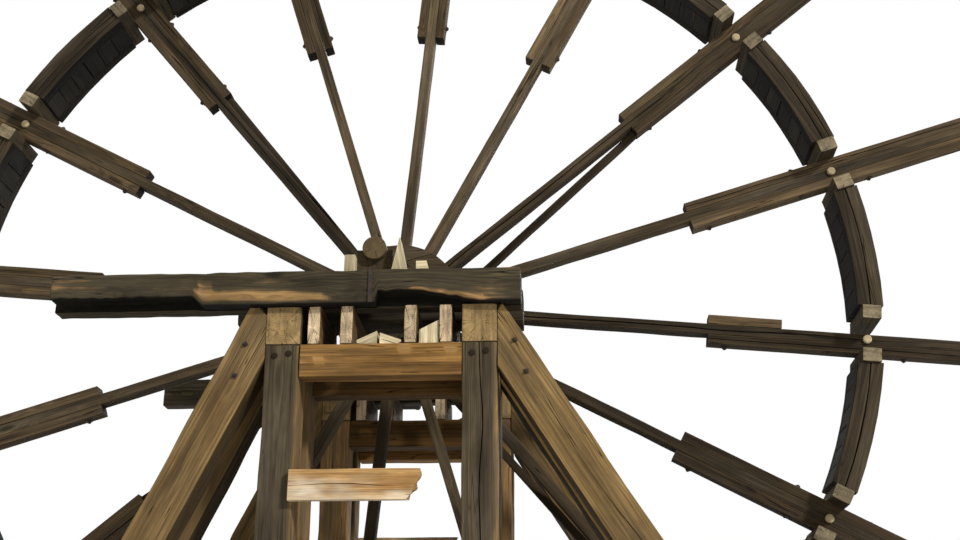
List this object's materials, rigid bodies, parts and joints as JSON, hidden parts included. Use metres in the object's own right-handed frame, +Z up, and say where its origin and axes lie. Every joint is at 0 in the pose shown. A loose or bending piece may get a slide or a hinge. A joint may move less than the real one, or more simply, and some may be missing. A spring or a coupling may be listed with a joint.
{
  "type": "water wheel",
  "caption": "Tall open timber water wheel: sixteen clasped spokes, a middle ring and an outer rim on a round axle, between trestle towers of squared timber with raking struts.",
  "frame": {"origin": "on the ground under the middle of the axle, at the centre of the footprint of the whole part", "axes": "+Z up, +Y along the axle towards the back tower, +X along the trestle beams"},
  "size_m": [17.68, 4.094, 18.14],
  "materials": {
    "axle_timber": "turned trunk, weathered",
    "hub_timber": "dark oiled timber",
    "spoke_timber": "sawn timber, weathered brown",
    "cheek_timber": "sawn plank, sunlit brown",
    "felloe_timber": "sawn timber, weathered brown",
    "sole_timber": "damp dark boards",
    "post_timber": "hewn timber, dark grey-brown",
    "strut_timber": "sawn timber, golden brown",
    "beam_timber": "hewn timber, weathered dark",
    "cap_timber": "fresh sawn timber, pale tan",
    "rail_timber": "sawn plank, orange-brown",
    "sill_timber": "hewn timber, earth stained",
    "chock_timber": "fresh split timber, pale",
    "cleat_timber": "pale sawn blocks and cleats",
    "iron": "wrought iron, dull brown rust"
  },
  "bodies": {
    "frame": {"front_left_posts": "post_timber", "front_right_posts": "post_timber", "back_left_posts": "post_timber", "back_right_posts": "post_timber", "front_caps": "cap_timber", "back_caps": "cap_timber", "front_bearing_beams": "beam_timber", "back_bearing_beams": "beam_timber", "front_joists": "cap_timber", "back_joists": "cap_timber", "front_upper_rails": "rail_timber", "back_upper_rails": "rail_timber", "front_broken_girt": "rail_timber", "back_broken_girt": "rail_timber", "front_girts": "rail_timber", "back_girts": "rail_timber", "front_left_struts": "strut_timber", "front_right_struts": "strut_timber", "back_left_struts": "strut_timber", "back_right_struts": "strut_timber", "front_sills": "sill_timber", "back_sills": "sill_timber", "sill_blocks": "sill_timber", "ground_ties": "sill_timber", "front_saddle": "hub_timber", "back_saddle": "hub_timber", "front_chocks": "chock_timber", "back_chocks": "chock_timber", "beam_straps": "iron"},
    "wheel": {"axle": "axle_timber", "hub_barrel": "hub_timber", "hub_plates": "hub_timber", "spokes": "spoke_timber", "spoke_cheeks": "cheek_timber", "back_stays": "spoke_timber", "stay_collar": "hub_timber", "front_ring_felloes": "felloe_timber", "back_ring_felloes": "felloe_timber", "ring_sole": "sole_timber", "ring_blocks": "cleat_timber", "front_rim_felloes": "felloe_timber", "back_rim_felloes": "felloe_timber", "upper_rim_sole": "sole_timber", "lower_rim_sole": "sole_timber", "rim_blocks": "cleat_timber", "rim_cleats": "cleat_timber"}
  },
  "joints": [
    {"name": "wheel_turn", "type": "hinge", "parent": "frame", "child": "wheel", "pos_m": [0, 0, 9.3], "axis": [0, 1, 0], "continuous": true}
  ]
}
